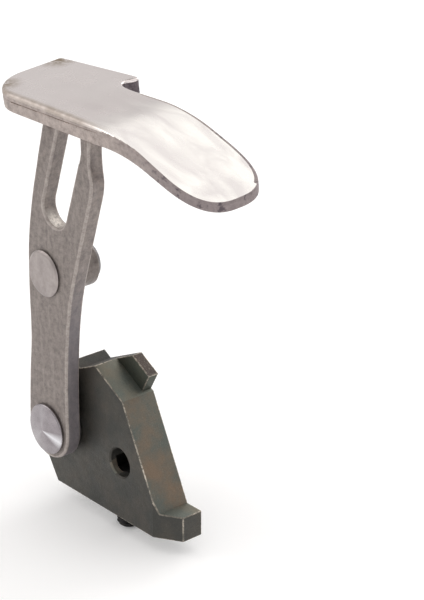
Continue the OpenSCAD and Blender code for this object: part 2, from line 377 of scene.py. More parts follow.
# ---------------------------------------------------------------- curves and meshes
def bezier(points, count):
    """Cubic curve through its two end points, as count points after the first."""
    p = np.array(points, float)[:, None, :]
    t = (np.arange(count) + 1)[:, None] / count
    return ((1 - t) ** 3 * p[0] + 3 * t * (1 - t) ** 2 * p[1] + 3 * t * t * (1 - t) * p[2]
            + t ** 3 * p[3])


def arc(centre, radius, start, end, count):
    """Points on a circle from the start angle to the end angle in degrees, after the first."""
    a = np.radians(start + (end - start) * (np.arange(count) + 1) / count)
    return np.array(centre) + radius * np.stack([np.cos(a), np.sin(a)], 1)


def along(line, stations):
    """Points of a polyline at given fractions of its length."""
    step = np.r_[0, np.cumsum(np.linalg.norm(np.diff(line, axis=0), axis=1))]
    return np.stack([np.interp(stations * step[-1], step, line[:, k]) for k in (0, 1)], 1)


def length_at(line, index):
    """Share of a polyline's length that lies before one of its points."""
    step = np.r_[0, np.cumsum(np.linalg.norm(np.diff(line, axis=0), axis=1))]
    return step[index] / step[-1]


def inward(ring):
    """Unit normals of a closed ring of points, to the left of its direction of travel."""
    run = np.roll(ring, -1, 0) - np.roll(ring, 1, 0)
    run /= np.linalg.norm(run, axis=1, keepdims=True)
    return np.stack([-run[:, 1], run[:, 0]], 1)


def soften(ring, passes):
    """A closed ring with its corners eased by repeated averaging with both neighbours."""
    for _ in range(passes):
        ring = 0.5 * ring + 0.25 * (np.roll(ring, 1, 0) + np.roll(ring, -1, 0))
    return ring


def ripple(points, size, seed):
    """Smooth uneven height from -1 to 1 at 3-D points: a sum of sine waves in turned
    directions, whose wavelengths are near size."""
    draw = np.random.default_rng(seed)
    height = np.zeros(points.shape[:-1])
    for share in (1.0, 0.7, 0.5, 0.35, 0.25, 0.2):
        way = draw.normal(size=3)
        way /= np.linalg.norm(way)
        height += share * np.sin(points @ way * TAU / (size * share) + draw.uniform(0, TAU))
    return height / 3


def skin(name, rings, body, replaced, finishes, band=None, uv=False, cap_finish=None,
         loop=False):
    """Closed skin from rings of points: neighbouring rings are joined by four-sided faces,
    and the first and last ring are filled, or joined together for a piece with a hole. band
    gives the finish of each row of faces, and cap_finish that of the two filled ends. uv
    adds a map that runs once round the rings and once along them."""
    rows, count = rings.shape[:2]
    at = np.arange(rows * count).reshape(rows, count)
    if loop:
        at = np.concatenate([at, at[:1]])
    right = np.roll(at, -1, 1)
    quads = np.stack([at[:-1], right[:-1], right[1:], at[1:]], -1).reshape(-1, 4)
    a, b, c, d = (rings.reshape(-1, 3)[quads[:, k]] for k in range(4))
    volume = np.einsum("ij,ij->i", a, np.cross(b, c)) + np.einsum("ij,ij->i", a, np.cross(c, d))
    outward = volume.sum() > 0
    if not outward:
        quads = quads[:, ::-1]
    caps = [] if loop else [at[0, ::-1], at[-1]]
    if not outward:
        caps = [cap[::-1] for cap in caps]
    mesh = bpy.data.meshes.new(name)
    mesh.from_pydata((rings.reshape(-1, 3) * MM).tolist(), [],
                     quads.tolist() + [cap.tolist() for cap in caps])
    if uv:
        layer = mesh.uv_layers.new(name="turned")
        corner = np.zeros(len(mesh.loops), np.int32)
        mesh.loops.foreach_get("vertex_index", corner)
        around = (corner % count) / count
        first = np.zeros(len(mesh.polygons), np.int32)
        mesh.polygons.foreach_get("loop_start", first)
        size = np.zeros(len(mesh.polygons), np.int32)
        mesh.polygons.foreach_get("loop_total", size)
        face = np.repeat(np.arange(len(size)), size)
        around = np.where((around < 0.25) & (np.maximum.reduceat(around, first)[face] > 0.75),
                          around + 1, around)
        layer.data.foreach_set("uv", np.stack([around, (corner // count) / rows], 1).ravel())
    for finish in finishes:
        mesh.materials.append(finish)
    if band is not None:
        ends = (band[0], band[-1]) if cap_finish is None else (cap_finish, cap_finish)
        index = np.r_[np.repeat(band, count), ends].astype(np.int32)
        mesh.polygons.foreach_set("material_index", index)
    mesh.polygons.foreach_set("use_smooth", np.ones(len(mesh.polygons), bool))
    return show(mesh, name, body, replaced)


def show(mesh, name, body, replaced):
    """A finished mesh put in the scene on its body, with its doubled points merged."""
    shape = bmesh.new()
    shape.from_mesh(mesh)
    bmesh.ops.remove_doubles(shape, verts=shape.verts, dist=2e-6)
    bmesh.ops.dissolve_degenerate(shape, dist=1e-6, edges=shape.edges)
    shape.to_mesh(mesh)
    shape.free()
    mesh.update()
    piece = bpy.data.objects.new(name, mesh)
    bpy.context.scene.collection.objects.link(piece)
    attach(piece, body)
    if replaced:
        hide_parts(*replaced)
    return piece


def turn(name, centre, profile, body, slot, replaced, finish, count=96, loop=False):
    """Turned piece: a profile of radius and depth carried round an axis along Y. A piece
    with a hole has a profile that ends where it began."""
    a = np.arange(count) / count * TAU
    radius, depth = np.array(profile, float)[:-1 if loop else None].T
    x = centre[0] + radius[:, None] * np.cos(a)
    z = centre[1] + radius[:, None] * np.sin(a)
    rings = np.stack([x, np.broadcast_to(depth[:, None], x.shape), z], -1)
    return skin(name, rings, body, replaced, [finish], uv=True, loop=loop)


def eased(corners, radius=0.25, steps=4):
    """A profile with each inner corner replaced by a short curve of about that radius."""
    p = np.array(corners, float)
    out = [p[:1]]
    for before, corner, after in zip(p[:-2], p[1:-1], p[2:]):
        reach = [min(radius, 0.45 * np.linalg.norm(end - corner)) for end in (before, after)]
        a = corner + (before - corner) / max(np.linalg.norm(before - corner), 1e-9) * reach[0]
        b = corner + (after - corner) / max(np.linalg.norm(after - corner), 1e-9) * reach[1]
        t = np.linspace(0, 1, steps + 1)[:, None]
        out.append((1 - t) ** 2 * a + 2 * t * (1 - t) * corner + t * t * b)
    return np.concatenate(out + [p[-1:]])


# ---------------------------------------------------------------- finishes
FRONT_Y = CAST_LOW[1]
POLISHED = polished_paddle()
CAST = cast_skin("cast arm", srgb(147, 138, 133), srgb(112, 104, 101), srgb(176, 167, 160))
CAST_SIDE = cast_skin("cast arm edge", srgb(148, 138, 132), srgb(114, 106, 104),
                      srgb(176, 168, 163), extra=side_shade_and_glint)
CAST_NOSE = cast_skin("rubbed arm corner", srgb(176, 167, 161), srgb(140, 131, 127),
                      srgb(206, 198, 192))
RIM = cast_skin("cast rim", srgb(184, 171, 165), srgb(140, 129, 124), srgb(208, 198, 192),
                extra=tongue_marks)
SEAM = cast_skin("dark parting line", srgb(126, 108, 97), srgb(96, 82, 74), srgb(158, 142, 130),
                 0.3)
# Painted shade: the step face in the paddle's back corner is coloured darker than the rim.
STEP_SHADE = cast_skin("painted step shade", srgb(112, 102, 106), srgb(78, 70, 76),
                      srgb(150, 140, 142))
OXIDE = oxide_steel("dark oxide", srgb(69, 69, 66), srgb(82, 78, 72), srgb(132, 128, 121))
# Painted light: the next two finishes are lighter copies of the dark oxide, for the block's
# faces that look up towards the lamps.
LIT_RAMP = oxide_steel("oxide with painted light", srgb(98, 102, 96), srgb(124, 108, 92), srgb(166, 158, 144),
                   0.34, 0.52)
LIT_RAMP_TOP = oxide_steel("green upper ramp with painted light", srgb(108, 113, 106), srgb(122, 117, 104),
                       srgb(180, 176, 162), 0.34, 0.52)
FIN_TOP = oxide_steel("speckled fin top", srgb(70, 63, 59), srgb(86, 76, 70),
                      srgb(196, 186, 176), 0.34, 0.52, 0.6)
FIN_SIDE = oxide_steel("green fin side", srgb(70, 74, 67), srgb(80, 82, 72), srgb(112, 112, 102))
EDGE = worn_edge()
PIN_METAL = turned_metal("satin pin steel", srgb(171, 163, 160), srgb(152, 144, 142),
                         0.34, 0.46, 0.5, PIN)
ROLLER_METAL = turned_metal("worn roller steel", srgb(136, 128, 123), srgb(100, 93, 90),
                            0.3, 0.45, 0.6, PIN)
# The rivet's turned face gets three painted highlight sectors.
RIVET_METAL = turned_metal("bright rivet steel", srgb(158, 152, 155), srgb(142, 136, 139),
                           0.2, 0.28, 0.35, PIVOT, 0.6,
                           ((0.46, 0.06, 0.7), (0.12, 0.08, 0.12), (0.78, 0.06, 0.1)))
SPRING_METAL = turned_metal("plain spring steel", srgb(150, 148, 148), srgb(122, 120, 122),
                            0.35, 0.5, 0.5, PIVOT)
BLACK = black_screw_steel()

# ---------------------------------------------------------------- paddle
TILT = np.radians(6.2)
TOP_Z = 111.7
PLATE_T, TIP_T = 6.1, 2.7
BEND_X, BEND_R, TONGUE_SLOPE = 2.8, 56.0, np.radians(21.8)
LEFT_X, TIP_X, TIP_LEN, TIP_POWER = -52.0, 30.6, 18.2, 2.7
TIP_W = 26.4
CORNER_R = 13.5
BACK_Y, BACK_CORNER_R = 29.4, 1.6
STEP_X, STEP_Y, STEP_CORNER_R = -17.2, 33.1, 1.4
FILLET_X = -18.6
CRACK_X = -45.2
SIDE_LEAN = 0.08
TOP_ROWS, NOSE_ROWS = 16, 8
PAD_TOP, PAD_RIM, PAD_STEP, PAD_SEAM = range(4)


def fall(x):
    """Drop of the paddle's top below its level part: none, then a circular bend, then a
    straight slope."""
    run = np.clip(x - BEND_X, 0, BEND_R * np.sin(TONGUE_SLOPE))
    past = np.maximum(x - BEND_X - BEND_R * np.sin(TONGUE_SLOPE), 0)
    return BEND_R - np.sqrt(BEND_R ** 2 - run ** 2) + past * np.tan(TONGUE_SLOPE)


def thickness(x):
    """Paddle thickness measured straight down: full on the level part, thinning to the tip."""
    return np.interp(x, [BEND_X, 23.6, 48.8], [PLATE_T, 4.55, TIP_T + 0.2])


def seam_drop(x):
    """How far below the paddle's top the parting line runs along the front rim."""
    return np.interp(x, [-52, -44, -36, -10, 10, 30], [1.9, 2.5, 2.6, 2.3, 1.9, 1.2])


def paddle_outline(half):
    """Front and back edges of the paddle seen from above, each from the middle of the left
    end to the middle of the tip, sampled so that opposite points share a place on the spine."""
    left_middle = [LEFT_X, 21.0]
    a = np.radians(np.linspace(-90, 0, 60))
    power = 2 / TIP_POWER
    tip = np.stack([TIP_X + TIP_LEN * np.cos(a) ** power,
                    TIP_W / 2 * (1 - np.abs(np.sin(a)) ** power)], 1)
    front = np.concatenate([[left_middle, [LEFT_X, CORNER_R]],
                            arc([LEFT_X + CORNER_R, CORNER_R], CORNER_R, 180, 270, 40),
                            tip])
    back_corner = arc([LEFT_X + BACK_CORNER_R, BACK_Y - BACK_CORNER_R], BACK_CORNER_R,
                      180, 96, 10)
    step_corner = arc([STEP_X - STEP_CORNER_R, STEP_Y - STEP_CORNER_R], STEP_CORNER_R,
                      96, 0, 10)
    step_foot = [FILLET_X, 29.0]
    fillet = bezier([step_foot, [FILLET_X, 24.6], [-12.9, 24.6], [-8.5, 24.7]], 24)
    back_tip = np.stack([tip[:, 0], TIP_W - tip[:, 1]], 1)
    back = np.concatenate([[left_middle], back_corner, step_corner, [step_foot], fillet,
                           back_tip])
    # Points that are held at a fixed share of the way round. Front: left end, in the round
    # corner, start of the tip, in the tip, end. Back: left end, in the small corner, end of
    # the step, its foot, end of the fillet, start of the tip, end.
    front_marks = [0, 12, 42, 44, len(front) - 1]
    back_marks = [0, 5, 20, 21, 45, 46, len(back) - 1]
    sides = []
    for line, marks, shares in (
        (front, front_marks, [0, 0.08, 0.22, 0.80, 1]),
        (back, back_marks, [0, 0.10, 0.36, 0.41, 0.52, 0.80, 1]),
    ):
        stations = np.interp(np.linspace(0, 1, half), shares,
                             [length_at(line, m) for m in marks])
        sides.append(along(line, stations))
    return sides


def make_paddle():
    """Each ring runs once round the plate. From the spine the rings spread to the edge,
    roll over a round nose, go down the rough rim with its parting line, and return under
    the plate to the spine. Height is the fall at that place, with a slight crown that
    lifts the middle and lowers the edges."""
    half = 230
    front, back = paddle_outline(half)
    edge = np.concatenate([front, back[-2:0:-1]])
    share = np.r_[np.linspace(0, 1, half), np.linspace(0, 1, half)[-2:0:-1]]
    spine = np.stack([np.interp(share, [0, 0.1, 0.36, 0.41, 0.52, 0.8, 1],
                                [-38, -38, -24.5, -21, -12, 31, 31]),
                      np.full(len(share), 14.0)], 1)
    spine[:, 1] = np.interp(spine[:, 0], [-38, 31], [16.0, 13.2])
    normal = inward(edge)
    deep = thickness(edge[:, 0])
    faces_front = 0.5 + 0.5 * normal[:, 1]
    on_left = np.clip((10 - edge[:, 0]) / 16, 0, 1)
    nose = 0.25 + 1.1 * faces_front * (0.35 + 0.65 * on_left)
    nose = soften(nose[:, None], 40)[:, 0]
    foot = np.minimum(0.4, 0.12 * deep)
    rows, drops, bands = [], [], []

    def row(plan, drop, band):
        rows.append(plan)
        drops.append(np.broadcast_to(drop, share.shape))
        bands.append(band)

    inner = edge + normal * nose[:, None]
    for v in np.r_[np.linspace(0, 0.9, TOP_ROWS - 2), 0.95, 1.0]:
        row(spine + (inner - spine) * v, 0.0, PAD_TOP)
    for a in np.radians(np.linspace(10, 90, NOSE_ROWS)):
        row(edge + normal * (nose * (1 - np.sin(a)))[:, None], nose * (1 - np.cos(a)),
            PAD_TOP)
    seam = seam_drop(edge[:, 0])
    on_front = (edge[:, 1] < 13) & (np.arange(len(edge)) < half)
    seam_deep = np.interp(edge[:, 0], [-52, -46, -12, 4], [0.2, 0.34, 0.26, 0.0]) * on_front
    crack = 0.35 * on_front * np.exp(-(((edge[:, 0] - CRACK_X) / 0.3) ** 2))
    for t in np.linspace(0, 1, 34)[1:]:
        drop = nose + (deep - foot - nose) * t
        pinch = seam_deep * np.exp(-(((drop - seam) / 0.17) ** 2))
        swell = -0.05 * on_front * np.exp(-(((drop - seam + 0.6) / 0.4) ** 2))
        wave = 0.06 * ripple(np.c_[edge, drop], 3.2, 3) * np.minimum(1, t * 4)
        lean = SIDE_LEAN * t * on_front
        split = crack * (drop > seam)
        row(edge + normal * (pinch + swell + wave + lean + split)[:, None], drop, PAD_RIM)
    for a in np.radians(np.linspace(15, 90, 6)):
        row(edge + normal * (SIDE_LEAN * on_front + foot * (1 - np.cos(a)))[:, None],
            deep - foot * (1 - np.sin(a)), PAD_RIM)
    under = edge + normal * (SIDE_LEAN * on_front + foot)[:, None]
    for v in np.linspace(0, 1, 12)[1:]:
        row(under + (spine - under) * v, None, PAD_RIM)
    plan = np.array(rows)
    drop = np.array([thickness(p[:, 0]) if d[0] is None else d for p, d in zip(rows, drops)],
                    float)
    across = np.clip((plan[..., 1] - 13) / np.interp(plan[..., 0], [-22, -4], [17, 12.5]), -1, 1)
    crown = np.interp(plan[..., 0], [-40, -12, 12, 40], [0.06, 0.10, 0.5, 0.4])
    fade = 1 - np.clip(drop / thickness(plan[..., 0]), 0, 1)
    z = -fall(plan[..., 0]) - drop + crown * (0.35 - across ** 2) * fade
    y = plan[..., 1]
    rings = np.stack([plan[..., 0], FRONT_Y + y * np.cos(TILT) - z * np.sin(TILT),
                      TOP_Z + y * np.sin(TILT) + z * np.cos(TILT)], -1)
    piece = skin("paddle", rings, "lever_body", ["lever_casting"],
                 [POLISHED, RIM, STEP_SHADE, SEAM], np.array(bands[1:]))
    faces = piece.data.polygons
    centre = np.zeros(len(faces) * 3)
    faces.foreach_get("center", centre)
    centre = centre.reshape(-1, 3) / MM
    index = np.zeros(len(faces), np.int32)
    faces.foreach_get("material_index", index)
    # Painted shade: the rim faces of the step take the darker step finish.
    in_step = (centre[:, 0] > -19.6) & (centre[:, 0] < -13) & (centre[:, 1] > FRONT_Y + 25.5)
    index[(index == PAD_RIM) & in_step] = PAD_STEP
    lift, back = centre[:, 2] - TOP_Z, centre[:, 1] - FRONT_Y
    down = -fall(centre[:, 0]) - (lift * np.cos(TILT) - back * np.sin(TILT))
    in_seam = (np.abs(down - seam_drop(centre[:, 0])) < 0.13) & (centre[:, 0] < 2)
    in_crack = (np.abs(centre[:, 0] - CRACK_X) < 0.2) & (down > seam_drop(CRACK_X))
    index[(index == PAD_RIM) & (back < 6) & (in_seam | in_crack & (down < 5))] = PAD_SEAM
    row_of = np.minimum(np.arange(len(faces)) // len(edge), len(bands) - 2)
    nose_rim = row_of >= np.interp(centre[:, 0], [2, 20], [TOP_ROWS + NOSE_ROWS - 1, TOP_ROWS])
    index[(index == PAD_TOP) & nose_rim] = PAD_RIM
    thin_rim = row_of >= np.interp(back, [15, 23], [16.9, 13.6])
    index[(index == PAD_TOP) & thin_rim & (back > 15) & (centre[:, 0] > -6)] = PAD_RIM
    faces.foreach_set("material_index", index)
    return piece


make_paddle()

# ---------------------------------------------------------------- arm
ARM_FRONT = FRONT_Y + 1.3
ARM_BACK = ARM_FRONT + 5.2
FOOT_R = 10.0
SLOT_W, SLOT_LEAN = 11.7, np.radians(19)
SLOT_FOOT = np.array([-19.8, 79.8])
ARM_TOP = 109.0
ARM_FACE, ARM_SIDE, ARM_NOSE = range(3)


def arm_outline():
    """Arm seen from the front, as one closed ring: round foot, right edge with its ledge,
    up into the paddle, down and up the leaning slot, and down the left edge."""
    px, pz = PIVOT
    f = FOOT_R
    right = np.concatenate([
        [[px - f, pz]],
        arc(PIVOT, f, 180, 360, 40),
        bezier([[px + f, pz], [px + f, pz + 18], [-16.6, 36], [-13.4, 51.5]], 24),
        bezier([[-13.4, 51.5], [-10.8, 61.5], [-6.4, 74], [-3.4, 83.5]], 20),
        bezier([[-3.4, 83.5], [-1.9, 87.5], [-1.2, 90.5], [-1.3, 92.6]], 10),
        bezier([[-1.3, 92.6], [-1.6, 95.0], [-2.3, 98.0], [-2.1, 103]], 10),
        [[-1.8, ARM_TOP]]])
    turn_by = np.array([[np.cos(SLOT_LEAN), -np.sin(SLOT_LEAN)],
                        [np.sin(SLOT_LEAN), np.cos(SLOT_LEAN)]])
    r = SLOT_W / 2
    wall_up = (ARM_TOP - SLOT_FOOT[1] + r * np.sin(SLOT_LEAN)) / np.cos(SLOT_LEAN)
    left_up = (ARM_TOP - SLOT_FOOT[1] - r * np.sin(SLOT_LEAN)) / np.cos(SLOT_LEAN)
    slot = np.concatenate([[[r, wall_up], [r, 24.6]],
                           arc([0, 0], r, 360, 180, 40), [[-r, left_up]]])
    slot = SLOT_FOOT + slot @ turn_by
    slot[0, 0] = slot[1, 0] - 0.2
    left = np.concatenate([
        [[-23.6, ARM_TOP]],
        bezier([[-23.6, ARM_TOP], [-28.4, 91.5], [-32.4, 80], [-34, 66]], 20),
        bezier([[-34, 66], [-35.2, 55], [-34.4, 44], [-34.6, 36]], 16),
        bezier([[-34.6, 36], [-34.8, 28], [-36.6, 20], [px - f, pz]], 16)[:-1]])
    ring = np.concatenate([right, slot, left, right[:1]])
    return along(ring, np.linspace(0, 1, 701)[:-1])


def make_arm():
    """The arm's outline carried from its front face to its back: each ring is the outline
    drawn in by the rounding of the edge, and the right leg's side is scooped above its
    ledge. The skin is slightly uneven, as cast."""
    edge = soften(arm_outline(), 2)
    normal = inward(edge)
    nose, tail = 0.75, 0.55
    nose_rings, side_rings, tail_rings = 7, 7, 6
    rows = []
    for a in np.radians(np.linspace(0, 90, nose_rings)):
        rows.append((nose * (1 - np.sin(a)), ARM_FRONT + nose * (1 - np.cos(a))))
    for t in np.linspace(0, 1, side_rings + 2)[1:-1]:
        rows.append((0.0, ARM_FRONT + nose + (ARM_BACK - ARM_FRONT - nose - tail) * t))
    for a in np.radians(np.linspace(90, 0, tail_rings)):
        rows.append((tail * (1 - np.sin(a)), ARM_BACK - tail * (1 - np.cos(a))))
    draw_in, depth = np.array(rows).T
    side = (edge[:, 0] > -7.5) & (edge[:, 1] > 84)
    x, z = edge.T
    scoop = 1.1 * side * np.exp(-(((z - 97.5) / 3.6) ** 2))
    mid = np.exp(-(((depth - (ARM_FRONT + 2.2)) / 1.5) ** 2))
    into = draw_in[:, None] + mid[:, None] * scoop
    points = np.stack([np.broadcast_to(x, into.shape),
                       np.broadcast_to(depth[:, None], into.shape),
                       np.broadcast_to(z, into.shape)], -1)
    inside_paddle = np.clip((107.5 - z) / 1.5, 0, 1)
    into = (into + 0.06 * ripple(points, 4.0, 5)) * inside_paddle
    points[..., 0] += into * normal[:, 0]
    points[..., 2] += into * normal[:, 1]
    finish = np.repeat([ARM_NOSE, ARM_SIDE, ARM_NOSE],
                       [nose_rings - 1, side_rings + 1, tail_rings - 1])
    return skin("slotted_arm", points, "lever_body", None,
                [CAST, CAST_SIDE, CAST_NOSE], finish, cap_finish=ARM_FACE)


make_arm()

# ---------------------------------------------------------------- pins and roller
HEAD_R, PIN_R = (HEAD_HIGH[0] - HEAD_LOW[0]) / 2, 3.5
PIN_FRONT, PIN_END = HEAD_LOW[1], HEAD_HIGH[1]
CLIP_LOW, CLIP_HIGH = span("roller_clip")
turn("upper_pin_turned", PIN, eased([
    [0.001, PIN_FRONT + 0.12], [HEAD_R * 0.6, PIN_FRONT + 0.03], [HEAD_R - 0.8, PIN_FRONT],
    [HEAD_R, PIN_FRONT + 0.45], [HEAD_R, ARM_FRONT - 0.42], [HEAD_R - 0.9, ARM_FRONT - 0.38],
    [HEAD_R - 0.9, ARM_FRONT + 0.2], [PIN_R, ARM_FRONT + 0.3],
    [PIN_R, CLIP_LOW[1]], [PIN_R - 0.7, CLIP_LOW[1]],
    [PIN_R - 0.7, CLIP_HIGH[1]], [PIN_R, CLIP_HIGH[1]], [PIN_R, PIN_END - 0.6],
    [PIN_R - 0.6, PIN_END], [0.001, PIN_END]], 0.22),
    "lever_body", "pin_steel", ["upper_pin"], PIN_METAL)

ROLL_LOW, ROLL_HIGH = span("roller")
ROLL_R = (ROLL_HIGH[0] - ROLL_LOW[0]) / 2
ROLL_Y0, ROLL_Y1 = ROLL_LOW[1], ROLL_HIGH[1]
BORE_R = PIN_R + 0.05
roller_rim = np.linspace(0.06, 0.94, 9)
turn("roller_turned", PIN, np.concatenate([
    eased([[BORE_R, (ROLL_Y0 + ROLL_Y1) / 2], [BORE_R, ROLL_Y0 + 0.4], [BORE_R + 0.4, ROLL_Y0],
           [ROLL_R - 0.9, ROLL_Y0], [ROLL_R - 0.06, ROLL_Y0 + 0.7]], 0.3),
    np.stack([ROLL_R - 0.05 * (2 * roller_rim - 1) ** 2,
              ROLL_Y0 + 0.6 + (ROLL_Y1 - ROLL_Y0 - 1.2) * roller_rim], 1),
    eased([[ROLL_R - 0.06, ROLL_Y1 - 0.7], [ROLL_R - 0.9, ROLL_Y1], [BORE_R + 1.9, ROLL_Y1],
           [BORE_R + 1.7, ROLL_Y1 - 0.15], [BORE_R + 0.4, ROLL_Y1 - 0.15],
           [BORE_R, ROLL_Y1 - 0.5], [BORE_R, (ROLL_Y0 + ROLL_Y1) / 2]], 0.3)]),
    "roller_body", "roller_steel", ["roller"], ROLLER_METAL, loop=True)


def make_clip():
    """E-shaped spring clip: a flat band bent round the pin's groove, open at the bottom.
    Its inner edge comes in to the groove at three places, and its section is a rectangle
    with eased corners."""
    t = np.linspace(0, 1, 73)
    gap = 28
    a = np.radians(-90 + gap + t * (360 - 2 * gap))
    prong = (np.exp(-((np.abs(t - 0.5) / 0.07) ** 2)) + np.exp(-((t / 0.06) ** 2))
             + np.exp(-(((1 - t) / 0.06) ** 2)))
    hold, clear = PIN_R - 0.68, 4.5
    inside = clear - (clear - hold) * np.minimum(prong, 1)
    outside = np.full_like(t, (CLIP_HIGH[0] - CLIP_LOW[0]) / 2 - 0.03)
    y0, y1 = CLIP_LOW[1] + 0.03, CLIP_HIGH[1] - 0.03
    ease = 0.08
    section = [(0, y0, ease), (1, y0, -ease), (1, y0 + ease, 0), (1, y1 - ease, 0),
               (1, y1, -ease), (0, y1, ease), (0, y1 - ease, 0), (0, y0 + ease, 0)]
    rings = np.zeros((len(t), len(section), 3))
    for k, (side, y, shift) in enumerate(section):
        r = np.where(side, outside, inside) + shift
        rings[:, k] = np.stack([PIN[0] + r * np.cos(a), np.full_like(t, y),
                                PIN[1] + r * np.sin(a)], 1)
    return skin("roller_clip_bent", rings, "lever_body", ["roller_clip"],
                [SPRING_METAL])


make_clip()

# ---------------------------------------------------------------- pivot rivet and washers
RIVET_LOW, RIVET_HIGH = span("pivot_rivet")
RIVET_HEAD_R = (RIVET_HIGH[0] - RIVET_LOW[0]) / 2 - 0.3
RIVET_R = 4.0
WASHER_LOW, WASHER_HIGH = span("rivet_washer")
SPACER_LOW, SPACER_HIGH = span("pivot_spacer")
cone = np.linspace(0.12, 1, 14)
turn("pivot_rivet_turned", PIVOT, np.concatenate([
    [[0.001, RIVET_LOW[1] + 0.1], [0.7, RIVET_LOW[1] + 0.05]],
    np.stack([(RIVET_HEAD_R - 0.35) * cone,
              RIVET_LOW[1] + 1.3 * cone ** 1.25 + 0.012 * np.cos(cone * 60)], 1),
    eased([[RIVET_HEAD_R - 0.2, RIVET_LOW[1] + 1.36], [RIVET_HEAD_R, RIVET_LOW[1] + 1.6],
           [RIVET_HEAD_R, ARM_FRONT - 0.35], [RIVET_HEAD_R - 0.25, ARM_FRONT - 0.3],
           [RIVET_R, ARM_FRONT - 0.3], [RIVET_R, WASHER_HIGH[1]],
           [RIVET_R + 1.45, WASHER_HIGH[1] + 0.02], [RIVET_R + 1.5, WASHER_HIGH[1] + 0.4],
           [RIVET_R - 0.2, RIVET_HIGH[1] - 0.1], [1.2, RIVET_HIGH[1]],
           [0.001, RIVET_HIGH[1] - 0.25]], 0.25)]),
    "block_body", "turned_steel", ["pivot_rivet"], RIVET_METAL)
for washer, low, high in (("rivet_washer", WASHER_LOW, WASHER_HIGH),
                          ("pivot_spacer", SPACER_LOW, SPACER_HIGH)):
    outer = (high[0] - low[0]) / 2
    middle = (low[1] + high[1]) / 2
    turn(washer + "_turned", PIVOT, eased([
        [RIVET_R, middle], [RIVET_R, low[1] + 0.1], [RIVET_R + 0.2, low[1]],
        [outer - 0.25, low[1]], [outer, low[1] + 0.25], [outer, high[1] - 0.25],
        [outer - 0.25, high[1]], [RIVET_R + 0.2, high[1]], [RIVET_R, high[1] - 0.1],
        [RIVET_R, middle]], 0.15),
        "block_body", "spring_steel", [washer], SPRING_METAL, loop=True)

# ---------------------------------------------------------------- set screw
SCREW_LOW, SCREW_HIGH = span("set_screw")
SCREW_R = (SCREW_HIGH[0] - SCREW_LOW[0]) / 2
SCREW_X = (SCREW_HIGH[0] + SCREW_LOW[0]) / 2
SCREW_Y = (SCREW_HIGH[1] + SCREW_LOW[1]) / 2
PITCH, THREAD_DEEP = 1.25, 0.62
SOCKET_FLAT, SOCKET_DEEP = 2.3, 4.0


def make_set_screw():
    """Set screw, standing along Z. Each ring is a circle whose radius follows the thread, a
    rounded zigzag of height and angle together, so that the crests run up in a helix. The
    bottom ends in a hexagonal socket: its radius is the flat's distance over the cosine of
    the angle from the nearest flat's middle."""
    count = 96
    a = np.arange(count) / count * TAU
    z0, z1 = SCREW_LOW[2], SCREW_HIGH[2]
    hexagon = SOCKET_FLAT / np.cos((a + np.pi / 6) % (np.pi / 3) - np.pi / 6)
    rows, heights = [], []

    def ring(radius, height):
        rows.append(np.broadcast_to(radius, a.shape))
        heights.append(height)

    for share, height in ((0.001, z0 + SOCKET_DEEP + 0.5), (1, z0 + SOCKET_DEEP),
                          (1, z0 + 0.3)):
        ring(hexagon * share, height)
    ring(hexagon + 0.25, z0 + 0.03)
    ring(SCREW_R - 1.15, z0)
    for height in np.linspace(z0 + 0.05, z1 - 0.05, 190):
        wave = (height / PITCH - a / TAU) % 1
        thread = SCREW_R - THREAD_DEEP * np.clip(np.abs(2 * wave - 1) * 1.25 - 0.1, 0, 1)
        taper = SCREW_R - 1.1 + 1.1 * min(height - z0, z1 - height, 1.0)
        ring(np.minimum(thread, taper), height)
    ring(SCREW_R - 1.3, z1)
    ring(0.001, z1 - 0.4)
    radius = np.array(rows)
    rings = np.stack([SCREW_X + radius * np.cos(a), SCREW_Y + radius * np.sin(a),
                      np.broadcast_to(np.array(heights)[:, None], radius.shape)], -1)
    return skin("set_screw_threaded", rings, "screw_body", ["set_screw"], [BLACK])


make_set_screw()

# ---------------------------------------------------------------- pivot block
RAMP1 = np.radians(29.5)
KNEE = np.array([2.0, 21.7])
FIN_T, FIN_H = 3.8, 7.0
EDGE_ROUND, ROLLED_FROM = 0.3, np.radians(40)
BLOCK_PLAIN, BLOCK_RAMP, BLOCK_FIN_TOP, BLOCK_FIN_SIDE, BLOCK_RAMP_TOP, BLOCK_EDGE = range(6)


